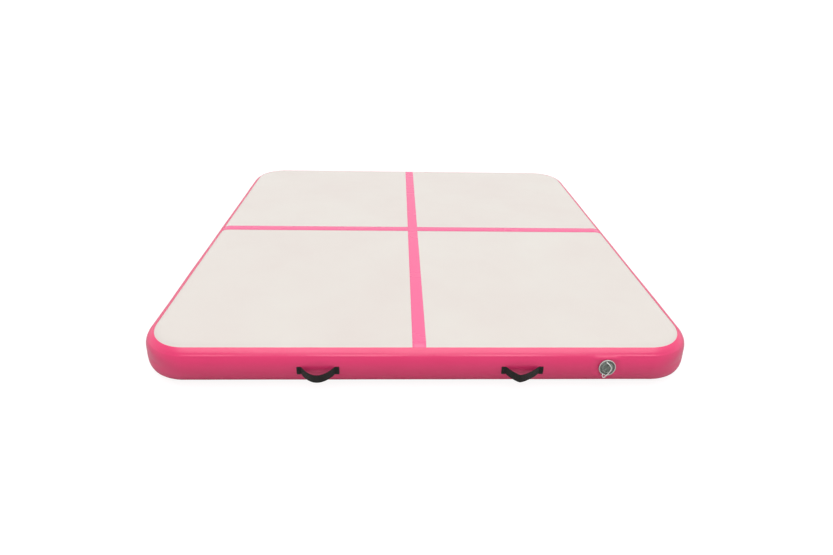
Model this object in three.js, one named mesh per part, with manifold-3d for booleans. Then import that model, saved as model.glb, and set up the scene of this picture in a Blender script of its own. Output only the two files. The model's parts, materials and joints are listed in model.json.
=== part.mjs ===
// Inflatable air track mat: an air chamber of two flat coated sheets held parallel by
// drop-stitch yarns, a bulging double side wall, tape stripes, webbing carry handles
// and an inflation valve. Millimetres, +Z up, front edge towards -Y, and the origin at
// the centre of the underside.
import * as THREE from 'three';
import { mergeVertices } from 'three/addons/utils/BufferGeometryUtils.js';
import Module from 'manifold-3d';

const wasm = await Module();
wasm.setup();

// Mat
const MAT_SIDE = 2000;
const MAT_THICKNESS = 150;
const CORNER_RADIUS = 186;
const SHEET = 1.2;
const GAP = 0.3;
const MID_HEIGHT = MAT_THICKNESS / 2;
const WALL_RADIUS = MID_HEIGHT + GAP + SHEET;
const BASE = MAT_SIDE / 2 - WALL_RADIUS;
const BASE_CORNER = CORNER_RADIUS - WALL_RADIUS;
const CORNER_STEPS = 6;
const BAND_EDGE_DEG = 26;
const SHEET_EDGE_DEG = 50;
const SEAM_TAPE_DEG = [42, 60];
const CORNER_FLATTEN = 12;
const CORNER_FOOT = 6;
const BUTT_GAP_DEG = 0.23;
const UPPER_SECTION_DEG = [0, 9, 18, BAND_EDGE_DEG, 34, 42, SHEET_EDGE_DEG, 60, 70, 80];

// Tape stripes on the top sheet
const STRIPE_WIDTH = 48;
const STRIPE_THICKNESS = 0.5;
const LONG_STRIPE_X = -5;
const CROSS_STRIPE_Y = 22;
const STRIPE_END_DEG = 25.7;

// Drop-stitch yarns, gathered into rows
const YARN_ROWS = 8;
const YARN_ROW_PITCH = 230;
const YARN_REACH = 880;
const YARN_ZIGZAGS = 11;
const YARN_STRIP_WIDTH = 12;
const YARN_STRIP_RISE = 1.7;

// Valve, on an axis square to the wall
const VALVE_X = 649;
const VALVE_DEG = 80;
const SEAT_DEPTH = 4.5;
const SEAT_FLAT = 27;
const SEAT_FADE_ALONG = 58;
const SEAT_FADE_ACROSS = 40;
const SEAT_STATIONS = [-58, -42, -27, 27, 42, 58];
const TUBE_RADIUS = 20;
const BORE_RADIUS = 16.4;
const FLANGE_RADIUS = 29.5;
const FLANGE_BACK = 1.6;
const BACK_CHAMFER = 0.8;
const RIM_TOP = 7;
const RIM_SLOPE = 2.2;
const RECESS_RADIUS = 24;
const RECESS_TAPER = 1;
const RECESS_FLOOR = 3.2;
const SEAT_RING_RADIUS = 11.5;
const SEAT_RING_HEIGHT = 2;
const SPIDER_ARMS = 3;
const RIB_WIDTH = 2.4;
const HUB_RADIUS = 5;
const HUB_TOP = -25;
const HUB_DEPTH = 3;
const TUBE_END = -32;
const NUT_RADIUS = 23.6;
const NUT_HEIGHT = 7;
const NUT_SCALLOPS = 8;
const SCALLOP_RADIUS = 3;
const SCALLOP_SEGMENTS = 10;
const STEM_RADIUS = 2.4;
const STEM_CLEARANCE = 0.3;
const BUTTON_BACK = -11.2;
const CAP_BACK = 5.3;
const CAP_TOP = 8.4;
const CAP_RADIUS = 20.3;
const CAP_CHAMFER = 0.8;
const SKIRT_BORE = 13;
const SKIRT_CEILING = 1.5;
const SKIRT_END = -6;
const GROOVE_RADIUS = 14.9;
const GROOVE_LOW = -3.2;
const GROOVE_HIGH = -1.4;
const POCKET_RADIUS = 14.2;
const POCKET_TAPER = 0.8;
const POCKET_DEPTH = 4;
const GRIP_BAR_WIDTH = 6.4;
const GRIP_BAR_DEG = 45;
const ROUND_SEGMENTS = 24;
const FINE_SEGMENTS = 32;

const LUG_WIDTH = 5;
const LUG_REACH = 4;
const LUG_TOP = 7.4;
const LUG_DEG = 10;
const LEASH_RADIUS = 1.3;

// Plunger of the valve and its spring
const DISC_RADIUS = 13.4;
const DISC_THICKNESS = 2;
const SEAL_RADIUS = 13;
const SEAL_THICKNESS = 1;
const RETAINER_RADIUS = 6.2;
const BUTTON_RADIUS = 7;
const BUTTON_THICKNESS = 1.6;
const WING_LENGTH = 11;
const WING_THICKNESS = 1.8;
const WING_HEIGHT = 1.2;
const SPRING_RADIUS = 4.4;
const SPRING_WIRE_RADIUS = 0.45;
const SPRING_TURNS = 4.5;
const SPRING_TOP = -13.8;
const SPRING_BOTTOM = -24.1;

// Carry handles of webbing
const HANDLE_X = 352;
const HANDLE_Z = 79;
const HANDLE_HALF_SPAN = 72.5;
const TAB_LENGTH = 15.5;
const STRAP_WIDTH = 32;
const STRAP_THICKNESS = 2;
const STRAP_BOW = 38;
const STRAP_DROOP = 4.5;
const LOOP_START_BOW = 18;
const STRAP_ROWS = 4;
const END_STEPS = 4;
const LOOP_STEPS = 10;
const HUG_BOW = 12;
const HANDLES = [
  { name: 'front_left', x: -HANDLE_X, side: -1, roundness: 2, peak: 0 },
  { name: 'front_right', x: HANDLE_X, side: -1, roundness: 1.4, peak: -14 },
  { name: 'rear_left', x: -HANDLE_X, side: 1, roundness: 1.6, peak: 6 },
  { name: 'rear_right', x: HANDLE_X, side: 1, roundness: 2, peak: 0 },
];

const rad = THREE.MathUtils.degToRad;
const VALVE_ANGLE = rad(VALVE_DEG);
const VALVE_NORMAL = new THREE.Vector3(0, -Math.sin(VALVE_ANGLE), Math.cos(VALVE_ANGLE));

// Materials
const coated = (color, roughness) => () =>
  new THREE.MeshStandardMaterial({ color, roughness, metalness: 0 });
const whiteSheet = coated(0xebe5e0, 0.55);
const pinkWall = coated(0xe0407d, 0.4);
const pinkTape = coated(0xff7aa7, 0.4);
const innerWall = coated(0xd9d5cf, 0.6);
const yarn = coated(0xf2efe8, 0.9);
const webbing = coated(0x2d2c2a, 0.85);
const valvePlastic = coated(0x7d877f, 0.35);
const innerPlastic = coated(0x5e6560, 0.45);
const sealRubber = coated(0x1c1c1c, 0.7);
const leashPlastic = coated(0xd3dad4, 0.3);
const springSteel = () =>
  new THREE.MeshStandardMaterial({ color: 0xb9bcc0, roughness: 0.3, metalness: 1 });

const group = new THREE.Group();

// Keeps only positions, joins shared vertices, drops slivers and turns the faces out.
function closed(geometry) {
  const bare = geometry.clone();
  bare.deleteAttribute('normal');
  bare.deleteAttribute('uv');
  const merged = mergeVertices(bare, 1e-3);
  const position = merged.getAttribute('position');
  const corner = [0, 1, 2].map(() => new THREE.Vector3());
  const kept = [];
  let volume = 0;
  const index = merged.getIndex().array;
  for (let i = 0; i < index.length; i += 3) {
    const [a, b, c] = index.slice(i, i + 3);
    if (a === b || b === c || c === a) continue;
    kept.push(a, b, c);
    corner[0].fromBufferAttribute(position, a);
    corner[1].fromBufferAttribute(position, b);
    corner[2].fromBufferAttribute(position, c);
    volume += corner[0].dot(corner[1].cross(corner[2]));
  }
  merged.setIndex(volume < 0 ? kept.reverse() : kept);
  return merged;
}

function solid(geometry) {
  const shape = closed(geometry);
  return new wasm.Manifold(new wasm.Mesh({
    numProp: 3,
    vertProperties: new Float32Array(shape.getAttribute('position').array),
    triVerts: new Uint32Array(shape.getIndex().array),
  }));
}

function geometryOf(manifold) {
  const mesh = manifold.getMesh();
  const geometry = new THREE.BufferGeometry();
  geometry.setAttribute('position', new THREE.BufferAttribute(mesh.vertProperties, 3));
  geometry.setIndex(new THREE.BufferAttribute(mesh.triVerts, 1));
  return geometry;
}

function addPiece(parent, name, geometry, material) {
  const mesh = new THREE.Mesh(closed(geometry), material());
  mesh.name = name;
  parent.add(mesh);
}

// Joins closed rings of equally many points. The skin either runs round from the last
// ring to the first, or each end is closed by the given cap. The second half of the
// rings is the inside of a layer, and its quads split along the same diagonals as the
// outside, so that nested layers stay clear of each other.
function skin(rings, cap) {
  const count = rings[0].length;
  const points = rings.flat();
  const index = [];
  const spans = cap ? rings.length - 1 : rings.length;
  for (let i = 0; i < spans; i += 1) {
    const here = i * count;
    const next = ((i + 1) % rings.length) * count;
    const inside = i >= rings.length / 2;
    for (let j = 0; j < count; j += 1) {
      const [a, b] = [here + j, next + j];
      const [c, d] = [next, here].map((start) => start + ((j + 1) % count));
      index.push(...(inside ? [a, b, d, b, c, d] : [a, b, c, a, c, d]));
    }
  }
  if (cap) {
    cap(points, index, 0, count, false);
    cap(points, index, (rings.length - 1) * count, count, true);
  }
  const geometry = new THREE.BufferGeometry().setFromPoints(points);
  geometry.setIndex(index);
  return geometry;
}

// Closes a ring by triangles about its centre.
function fanCap(points, index, start, count, atEnd) {
  const centre = new THREE.Vector3();
  for (let j = 0; j < count; j += 1) centre.addScaledVector(points[start + j], 1 / count);
  points.push(centre);
  const hub = points.length - 1;
  for (let j = 0; j < count; j += 1) {
    const rim = [start + j, start + ((j + 1) % count)];
    index.push(hub, ...(atEnd ? rim.reverse() : rim));
  }
}

// Closes a ring that is a front row of points followed by the back row in reverse.
function stripCap(points, index, start, count, atEnd) {
  for (let j = 0; j < count / 2 - 1; j += 1) {
    const a = start + j;
    const b = start + j + 1;
    const c = start + count - 2 - j;
    const d = start + count - 1 - j;
    index.push(...(atEnd ? [a, c, b, a, d, c] : [a, b, c, a, c, d]));
  }
}

// A closed profile of [radius, height] points turned about the local Z axis.
function turned(profile, segments = ROUND_SEGMENTS) {
  const points = profile.map(([radius, height]) => new THREE.Vector2(radius, height));
  return new THREE.LatheGeometry(points, segments).rotateX(Math.PI / 2);
}

// A round rod along the local Z axis between two heights, which may be tapered.
function rod(radius, low, high, segments = ROUND_SEGMENTS, topRadius = radius) {
  const geometry = new THREE.CylinderGeometry(topRadius, radius, high - low, segments);
  return geometry.rotateX(Math.PI / 2).translate(0, 0, (low + high) / 2);
}

function ringProfile(inner, outer, low, high) {
  return [[inner, low], [outer, low], [outer, high], [inner, high], [inner, low]];
}

// Places round the rounded square that the section's centre follows, each with its
// outward direction and how far it is into a corner, from 0 at the ends of the corner to 1
// at its middle. They run counter-clockwise from the valve.
function perimeterStations() {
  const stations = SEAT_STATIONS.map((offset) => (
    { x: VALVE_X + offset, y: -BASE, nx: 0, ny: -1, corner: 0 }
  ));
  const reach = BASE - BASE_CORNER;
  const corners = [[reach, -reach], [reach, reach], [-reach, reach], [-reach, -reach]];
  corners.forEach(([cx, cy], quarter) => {
    for (let step = 0; step <= CORNER_STEPS; step += 1) {
      const angle = rad(90 * (quarter - 1 + step / CORNER_STEPS));
      const nx = Math.cos(angle);
      const ny = Math.sin(angle);
      const corner = Math.sin((Math.PI * step) / CORNER_STEPS);
      stations.push({ x: cx + BASE_CORNER * nx, y: cy + BASE_CORNER * ny, nx, ny, corner });
    }
  });
  return stations;
}

const STATIONS = perimeterStations();

// How far the clamped valve moves the wall along its axis to hold it flat: fully under
// the flange, and not at all well clear of it. All the layers move alike.
function seatShift(station, angle) {
  if (station.ny > -0.999) return 0;
  const fade = (distance, end) => 1 - THREE.MathUtils.smoothstep(distance, SEAT_FLAT, end);
  const along = Math.abs(station.x - VALVE_X);
  const across = Math.abs(WALL_RADIUS * Math.sin(angle - VALVE_ANGLE));
  const depth = WALL_RADIUS * (1 - Math.cos(angle - VALVE_ANGLE));
  return fade(along, SEAT_FADE_ALONG) * fade(across, SEAT_FADE_ACROSS) * (depth - SEAT_DEPTH);
}

// How far the wall of a corner, which is drawn tight both ways, differs from a round
// section: it stands back at mid-height and out a little below that.
function cornerShift(station, angle) {
  const waist = CORNER_FLATTEN * Math.sin(angle) ** 6;
  const foot = CORNER_FOOT * Math.max(0, -Math.sin(2 * angle));
  return station.corner * (foot - waist);
}

// A point of the inflated section. The angle is measured from straight up.
function wallPoint(station, radius, angle) {
  const out = radius * Math.sin(angle) + cornerShift(station, angle);
  const point = new THREE.Vector3(
    station.x + station.nx * out,
    station.y + station.ny * out,
    MID_HEIGHT + radius * Math.cos(angle),
  );
  return point.addScaledVector(VALVE_NORMAL, seatShift(station, angle));
}

function wallRing(radius, degrees) {
  return STATIONS.map((station) => wallPoint(station, radius, rad(degrees)));
}

// The angles of a layer from one edge to the other, on the steps that all layers share.
function sectionDegrees(from, to) {
  const lower = UPPER_SECTION_DEG.map((angle) => 180 - angle).reverse();
  const shared = [...UPPER_SECTION_DEG, 90, ...lower];
  return [from, ...shared.filter((angle) => angle > from && angle < to), to];
}

// A layer of coated fabric that follows the section between two angles.
function wallLayer(outerRadius, from, to) {
  const degrees = sectionDegrees(from, to);
  const outside = degrees.map((angle) => wallRing(outerRadius, angle));
  const inside = degrees.map((angle) => wallRing(outerRadius - SHEET, angle));
  return skin([...outside, ...inside.reverse()]);
}

// A flat sheet whose rim rolls over the shoulder, on the top or the bottom of the mat.
function rolledSheet(onTop) {
  const upper = sectionDegrees(0, SHEET_EDGE_DEG);
  const degrees = onTop ? upper : upper.map((angle) => 180 - angle);
  const outside = degrees.map((angle) => wallRing(MID_HEIGHT, angle));
  const inside = degrees.map((angle) => wallRing(MID_HEIGHT - SHEET, angle));
  return skin([...outside, ...inside.reverse()], fanCap);
}

function valveFrame() {
  const frame = new THREE.Group();
  const seatDistance = WALL_RADIUS - SEAT_DEPTH;
  frame.position.set(VALVE_X, -BASE, MID_HEIGHT);
  frame.position.addScaledVector(VALVE_NORMAL, seatDistance);
  frame.rotation.x = VALVE_ANGLE;
  frame.updateMatrixWorld(true);
  return frame;
}

// Cuts the round valve opening through a layer of the wall.
function withValveHole(geometry, frame) {
  const drill = rod(TUBE_RADIUS + GAP, -TUBE_RADIUS, TUBE_RADIUS, FINE_SEGMENTS);
  drill.applyMatrix4(frame.matrixWorld);
  return geometryOf(solid(geometry).subtract(solid(drill)));
}

function addChamber(frame) {
  const band = wallLayer(WALL_RADIUS, BAND_EDGE_DEG, 180 - BAND_EDGE_DEG);
  const innerEdge = SHEET_EDGE_DEG + BUTT_GAP_DEG;
  const inner = wallLayer(MID_HEIGHT, innerEdge, 180 - innerEdge);
  const tapeRadius = MID_HEIGHT - SHEET - GAP;
  addPiece(group, 'top_sheet', rolledSheet(true), whiteSheet);
  addPiece(group, 'bottom_sheet', rolledSheet(false), whiteSheet);
  addPiece(group, 'side_wall_outer', withValveHole(band, frame), pinkWall);
  addPiece(group, 'side_wall_inner', withValveHole(inner, frame), innerWall);
  const [tapeStart, tapeEnd] = SEAM_TAPE_DEG;
  const upperTape = wallLayer(tapeRadius, tapeStart, tapeEnd);
  const lowerTape = wallLayer(tapeRadius, 180 - tapeEnd, 180 - tapeStart);
  addPiece(group, 'seam_tape_top', upperTape, innerWall);
  addPiece(group, 'seam_tape_bottom', lowerTape, innerWall);
}

// Side view of a tape that lies on the top sheet from one place to another and may roll
// over the shoulder at either end.
function tapeOutline(from, to, rollsAtStart, rollsAtEnd) {
  const inner = MID_HEIGHT + GAP;
  const rolled = (radius, centre, sign) => sectionDegrees(0, STRIPE_END_DEG).map((angle) => (
    new THREE.Vector2(
      centre + sign * radius * Math.sin(rad(angle)),
      MID_HEIGHT + radius * Math.cos(rad(angle)),
    )
  ));
  const side = (radius) => {
    const flat = (place) => [new THREE.Vector2(place, MID_HEIGHT + radius)];
    const start = rollsAtStart ? rolled(radius, from, -1).reverse() : flat(from);
    const end = rollsAtEnd ? rolled(radius, to, 1) : flat(to);
    return [...start, ...end];
  };
  return new THREE.Shape([...side(inner), ...side(inner + STRIPE_THICKNESS).reverse()]);
}

function addStripes() {
  const settings = { depth: STRIPE_WIDTH, bevelEnabled: false };
  const half = STRIPE_WIDTH / 2;
  const long = new THREE.ExtrudeGeometry(tapeOutline(-BASE, BASE, true, true), settings);
  long.rotateX(Math.PI / 2).rotateZ(Math.PI / 2).translate(LONG_STRIPE_X - half, 0, 0);
  addPiece(group, 'stripe_long', long, pinkTape);
  const edge = half + GAP;
  const left = tapeOutline(-BASE, LONG_STRIPE_X - edge, true, false);
  const right = tapeOutline(LONG_STRIPE_X + edge, BASE, false, true);
  const ends = { stripe_cross_left: left, stripe_cross_right: right };
  for (const [name, outline] of Object.entries(ends)) {
    const cross = new THREE.ExtrudeGeometry(outline, settings);
    cross.rotateX(Math.PI / 2).translate(0, CROSS_STRIPE_Y + half, 0);
    addPiece(group, name, cross, pinkTape);
  }
}

// A row of yarns, drawn as one strip that runs up and down between the two sheets.
function yarnRow(x) {
  const low = SHEET + GAP;
  const high = MAT_THICKNESS - SHEET - GAP - YARN_STRIP_RISE;
  const chain = [];
  for (let i = 0; i <= 2 * YARN_ZIGZAGS; i += 1) {
    const y = THREE.MathUtils.lerp(-YARN_REACH, YARN_REACH, i / (2 * YARN_ZIGZAGS));
    chain.push(new THREE.Vector2(y, i % 2 ? high : low));
  }
  const raised = chain.map((point) => new THREE.Vector2(point.x, point.y + YARN_STRIP_RISE));
  const outline = new THREE.Shape([...chain, ...raised.reverse()]);
  const strip = new THREE.ExtrudeGeometry(
    outline,
    { depth: YARN_STRIP_WIDTH, bevelEnabled: false },
  );
  return strip.rotateX(Math.PI / 2).rotateZ(Math.PI / 2).translate(x - YARN_STRIP_WIDTH / 2, 0, 0);
}

function addYarns() {
  for (let row = 0; row < YARN_ROWS; row += 1) {
    const x = (row - (YARN_ROWS - 1) / 2) * YARN_ROW_PITCH;
    addPiece(group, `drop_stitch_row_${row + 1}`, yarnRow(x), yarn);
  }
}

// Flange, tube, inner seat and the spider that guides the plunger stem, in one piece.
function valveHousing() {
  const shell = solid(turned([
    [BORE_RADIUS, RECESS_FLOOR], [RECESS_RADIUS, RECESS_FLOOR],
    [RECESS_RADIUS + RECESS_TAPER, RIM_TOP], [FLANGE_RADIUS - RIM_SLOPE, RIM_TOP],
    [FLANGE_RADIUS, RIM_TOP - RIM_SLOPE], [FLANGE_RADIUS, FLANGE_BACK + BACK_CHAMFER],
    [FLANGE_RADIUS - BACK_CHAMFER, FLANGE_BACK], [TUBE_RADIUS, FLANGE_BACK],
    [TUBE_RADIUS, TUBE_END], [SEAT_RING_RADIUS, TUBE_END],
    [SEAT_RING_RADIUS, TUBE_END + SEAT_RING_HEIGHT], [BORE_RADIUS, TUBE_END + SEAT_RING_HEIGHT],
    [BORE_RADIUS, RECESS_FLOOR],
  ]));
  const hubBottom = HUB_TOP - HUB_DEPTH;
  let spider = solid(turned(ringProfile(STEM_RADIUS, HUB_RADIUS, hubBottom, HUB_TOP)));
  const wallMiddle = (BORE_RADIUS + TUBE_RADIUS) / 2;
  for (let arm = 0; arm < SPIDER_ARMS; arm += 1) {
    const length = wallMiddle - (STEM_RADIUS + HUB_RADIUS) / 2;
    const rib = new THREE.BoxGeometry(length, RIB_WIDTH, HUB_DEPTH);
    rib.translate(wallMiddle - length / 2, 0, HUB_TOP - HUB_DEPTH / 2);
    rib.rotateZ((arm * 2 * Math.PI) / SPIDER_ARMS);
    spider = spider.add(solid(rib));
  }
  const reamer = rod(STEM_RADIUS + STEM_CLEARANCE, hubBottom - 1, HUB_TOP + 1);
  return geometryOf(shell.add(spider).subtract(solid(reamer)));
}

// Ring nut inside the chamber, with finger scallops round its edge.
function valveNut() {
  const top = -2 * SHEET - 2 * GAP;
  const bottom = top - NUT_HEIGHT;
  const ring = ringProfile(TUBE_RADIUS + GAP, NUT_RADIUS, bottom, top);
  let nut = solid(turned(ring, FINE_SEGMENTS));
  for (let i = 0; i < NUT_SCALLOPS; i += 1) {
    const scallop = rod(SCALLOP_RADIUS, bottom - 1, top + 1, SCALLOP_SEGMENTS);
    scallop.translate(NUT_RADIUS + SCALLOP_RADIUS / 2, 0, 0);
    scallop.rotateZ((i * 2 * Math.PI) / NUT_SCALLOPS);
    nut = nut.subtract(solid(scallop));
  }
  return geometryOf(nut);
}

// Plug cap: a hollow skirt with a seal groove, a neck, and a head with two finger
// pockets that leave a diagonal grip bar.
function valveCap() {
  const neck = BORE_RADIUS + GAP;
  const skirt = BORE_RADIUS - 2 * GAP;
  const shoulder = RECESS_FLOOR + GAP;
  const body = solid(turned([
    [0, SKIRT_CEILING], [SKIRT_BORE, SKIRT_CEILING], [SKIRT_BORE, SKIRT_END],
    [skirt, SKIRT_END], [skirt, GROOVE_LOW], [GROOVE_RADIUS, GROOVE_LOW],
    [GROOVE_RADIUS, GROOVE_HIGH], [skirt, GROOVE_HIGH], [skirt, shoulder], [neck, shoulder],
    [neck, CAP_BACK], [CAP_RADIUS, CAP_BACK], [CAP_RADIUS, CAP_TOP - CAP_CHAMFER],
    [CAP_RADIUS - CAP_CHAMFER, CAP_TOP], [0, CAP_TOP],
  ], FINE_SEGMENTS));
  const floor = CAP_TOP - POCKET_DEPTH;
  const wide = POCKET_RADIUS + POCKET_TAPER;
  const pocketDisc = rod(POCKET_RADIUS - POCKET_TAPER, floor, CAP_TOP + POCKET_DEPTH,
    FINE_SEGMENTS, wide);
  const bar = new THREE.BoxGeometry(4 * CAP_RADIUS, GRIP_BAR_WIDTH, 4 * POCKET_DEPTH);
  bar.translate(0, 0, CAP_TOP).rotateZ(rad(GRIP_BAR_DEG));
  return geometryOf(body.subtract(solid(pocketDisc).subtract(solid(bar))));
}

// Flat ring round the neck of the cap, with a lug that takes the end of the leash.
function leashRing() {
  const low = RECESS_FLOOR + GAP;
  const top = CAP_BACK - GAP;
  const capSide = CAP_RADIUS + GAP;
  const ring = solid(turned(ringProfile(BORE_RADIUS + 2 * GAP, capSide, low, top)));
  const lug = new THREE.BoxGeometry(LUG_WIDTH, LUG_REACH, LUG_TOP - low);
  lug.translate(0, RECESS_RADIUS - GAP - LUG_REACH / 2, (LUG_TOP + low) / 2);
  lug.rotateZ(rad(LUG_DEG));
  const clearLug = solid(lug).subtract(solid(rod(capSide, top, LUG_TOP + 1, FINE_SEGMENTS)));
  return geometryOf(ring.add(clearLug));
}

// The tether leaves the rim at the lower left, turns back in a tight bend, arcs over the
// cap's face and comes down on the lug of its ring.
function leash() {
  const route = new THREE.CatmullRomCurve3([
    [-15.5, -21.5, 8.8], [-16.2, -27.5, 10], [-12.6, -34.2, 11.2], [-9.6, -33, 12.4],
    [-5.8, -26, 14.4], [0, -18.4, 15.6], [6.4, -8.7, 16], [9.7, 1.1, 16], [8.1, 8.8, 15.4],
    [3, 15.8, 14], [-2.2, 19.8, 11.8], [-3.7, 21.6, 9.2],
  ].map((point) => new THREE.Vector3(...point)));
  return tubeAlong(route, LEASH_RADIUS, 8, 36);
}

function plungerSpring() {
  class Helix extends THREE.Curve {
    getPoint(t, target = new THREE.Vector3()) {
      const angle = t * SPRING_TURNS * 2 * Math.PI;
      const height = THREE.MathUtils.lerp(SPRING_TOP, SPRING_BOTTOM, t);
      return target.set(SPRING_RADIUS * Math.cos(angle), SPRING_RADIUS * Math.sin(angle), height);
    }
  }
  return tubeAlong(new Helix(), SPRING_WIRE_RADIUS, 6, 40);
}

function tubeAlong(extrudePath, radius, sides, steps) {
  const section = new THREE.Shape();
  for (let i = 0; i < sides; i += 1) {
    const angle = (i * 2 * Math.PI) / sides;
    const move = i ? 'lineTo' : 'moveTo';
    section[move](radius * Math.cos(angle), radius * Math.sin(angle));
  }
  section.closePath();
  return new THREE.ExtrudeGeometry(section, { steps, extrudePath, bevelEnabled: false });
}

// Push button on the end of the stem, with a wing to turn and lock the plunger open.
function plungerButton() {
  const face = BUTTON_BACK + BUTTON_THICKNESS;
  const disc = solid(rod(BUTTON_RADIUS, BUTTON_BACK, face));
  const wing = new THREE.BoxGeometry(WING_LENGTH, WING_THICKNESS, 2 * WING_HEIGHT);
  wing.translate(0, 0, face);
  return geometryOf(disc.add(solid(wing)));
}

function addValve(frame) {
  const stemHole = STEM_RADIUS + STEM_CLEARANCE;
  const stemEnd = BUTTON_BACK - GAP;
  const sealTop = TUBE_END - GAP;
  const sealBottom = sealTop - SEAL_THICKNESS;
  const discTop = sealBottom - GAP;
  const discBottom = discTop - DISC_THICKNESS;
  const gasket = turned(ringProfile(TUBE_RADIUS + GAP, SEAT_FLAT, GAP, FLANGE_BACK - GAP));
  const plunger = turned([
    [0, stemEnd], [STEM_RADIUS, stemEnd], [STEM_RADIUS, discTop], [DISC_RADIUS, discTop],
    [DISC_RADIUS, discBottom], [0, discBottom],
  ]);
  const seal = turned(ringProfile(stemHole, SEAL_RADIUS, sealBottom, sealTop));
  const retainerBack = SPRING_TOP + SPRING_WIRE_RADIUS + GAP;
  const retainer = turned(ringProfile(stemHole, RETAINER_RADIUS, retainerBack, stemEnd));
  const sealRing = ringProfile(
    GROOVE_RADIUS + GAP,
    BORE_RADIUS - GAP,
    GROOVE_LOW + GAP,
    GROOVE_HIGH - GAP,
  );
  const capSeal = turned(sealRing, FINE_SEGMENTS);
  addPiece(frame, 'valve_housing', valveHousing(), valvePlastic);
  addPiece(frame, 'valve_gasket', gasket, sealRubber);
  addPiece(frame, 'valve_nut', valveNut(), innerPlastic);
  addPiece(frame, 'valve_plunger', plunger, innerPlastic);
  addPiece(frame, 'plunger_seal', seal, sealRubber);
  addPiece(frame, 'plunger_button', plungerButton(), innerPlastic);
  addPiece(frame, 'spring_retainer', retainer, springSteel);
  addPiece(frame, 'plunger_spring', plungerSpring(), springSteel);
  addPiece(frame, 'valve_cap', valveCap(), valvePlastic);
  addPiece(frame, 'cap_seal', capSeal, sealRubber);
  addPiece(frame, 'leash_ring', leashRing(), leashPlastic);
  addPiece(frame, 'cap_leash', leash(), leashPlastic);
  group.add(frame);
}

// Length of the arm of a bowed strap on one side of its peak, up to the sewn end.
function armLength(handle, side) {
  return HANDLE_HALF_SPAN - TAB_LENGTH - side * handle.peak;
}

// How far the strap stands off the wall at a distance from the middle of the handle.
function strapBow(handle, distance) {
  const fromPeak = distance - handle.peak;
  const part = Math.min(Math.abs(fromPeak) / armLength(handle, Math.sign(fromPeak)), 1);
  return STRAP_BOW * (1 - part ** handle.roundness);
}

function strapSlope(handle, distance) {
  const step = 0.5;
  return (strapBow(handle, distance + step) - strapBow(handle, distance - step)) / (2 * step);
}

// One cross-section of the webbing in a plane square to the mat's edge. It lies on the
// round wall at the tab and stands upright where the strap is clear of the wall.
function strapRing(handle, distance) {
  const bow = strapBow(handle, distance);
  const hug = 1 - THREE.MathUtils.smoothstep(bow, 0, HUG_BOW);
  const middle = HANDLE_Z - STRAP_DROOP * (bow / STRAP_BOW);
  const radius = WALL_RADIUS + GAP;
  const depth = STRAP_THICKNESS * Math.hypot(1, strapSlope(handle, distance));
  const row = (extra) => {
    const points = [];
    for (let j = 0; j <= STRAP_ROWS; j += 1) {
      const z = middle + STRAP_WIDTH * (j / STRAP_ROWS - 0.5);
      const fallBack = radius - Math.sqrt(radius ** 2 - (z - MID_HEIGHT) ** 2);
      const out = BASE + radius - hug * fallBack + bow + extra;
      points.push(new THREE.Vector3(handle.x + distance, handle.side * out, z));
    }
    return points;
  };
  return [...row(depth), ...row(0).reverse()];
}

function strapPiece(handle, distances) {
  return skin(distances.map((distance) => strapRing(handle, distance)), stripCap);
}

function evenly(from, to, steps) {
  return Array.from({ length: steps + 1 }, (_, i) => THREE.MathUtils.lerp(from, to, i / steps));
}

function addHandle(handle) {
  const part = (1 - LOOP_START_BOW / STRAP_BOW) ** (1 / handle.roundness);
  const split = (side) => handle.peak + side * part * armLength(handle, side);
  const strapEnd = (side) => {
    const sewn = side * (HANDLE_HALF_SPAN - TAB_LENGTH);
    const root = evenly(sewn, split(side) + (side * GAP) / 2, END_STEPS);
    return strapPiece(handle, [side * HANDLE_HALF_SPAN, ...root]);
  };
  const loop = evenly(split(-1) + GAP / 2, split(1) - GAP / 2, LOOP_STEPS);
  addPiece(group, `${handle.name}_strap_end_a`, strapEnd(-1), webbing);
  addPiece(group, `${handle.name}_strap_end_b`, strapEnd(1), webbing);
  addPiece(group, `${handle.name}_strap_loop`, strapPiece(handle, loop), webbing);
}

const valve = valveFrame();
addChamber(valve);
addStripes();
addYarns();
addValve(valve);
HANDLES.forEach(addHandle);

export default group;
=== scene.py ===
"""Looks of the inflatable air track mat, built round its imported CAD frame.

Metres, in the frame's own axes: +Z up, the front edge towards -Y, and the origin at the
centre of the underside.
"""

import json
import math

import bpy
import numpy as np
from mathutils import Matrix, Vector


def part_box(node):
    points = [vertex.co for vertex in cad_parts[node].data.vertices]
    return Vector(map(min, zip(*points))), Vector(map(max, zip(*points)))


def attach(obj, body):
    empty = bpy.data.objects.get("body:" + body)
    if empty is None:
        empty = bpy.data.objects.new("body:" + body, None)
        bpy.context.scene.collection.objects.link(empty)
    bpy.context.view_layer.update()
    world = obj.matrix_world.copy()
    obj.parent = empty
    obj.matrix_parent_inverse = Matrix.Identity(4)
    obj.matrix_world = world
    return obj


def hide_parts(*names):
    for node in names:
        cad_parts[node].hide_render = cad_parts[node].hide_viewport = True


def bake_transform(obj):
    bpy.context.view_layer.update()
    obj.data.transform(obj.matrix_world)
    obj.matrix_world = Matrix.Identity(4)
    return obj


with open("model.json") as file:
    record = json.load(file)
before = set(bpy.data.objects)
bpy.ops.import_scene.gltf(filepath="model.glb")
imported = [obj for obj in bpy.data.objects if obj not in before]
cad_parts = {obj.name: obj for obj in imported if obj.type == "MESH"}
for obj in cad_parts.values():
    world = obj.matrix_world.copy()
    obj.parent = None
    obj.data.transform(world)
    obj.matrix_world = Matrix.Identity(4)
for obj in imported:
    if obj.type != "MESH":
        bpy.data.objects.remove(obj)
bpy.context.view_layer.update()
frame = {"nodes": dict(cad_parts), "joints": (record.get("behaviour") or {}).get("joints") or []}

MM = 0.001

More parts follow.
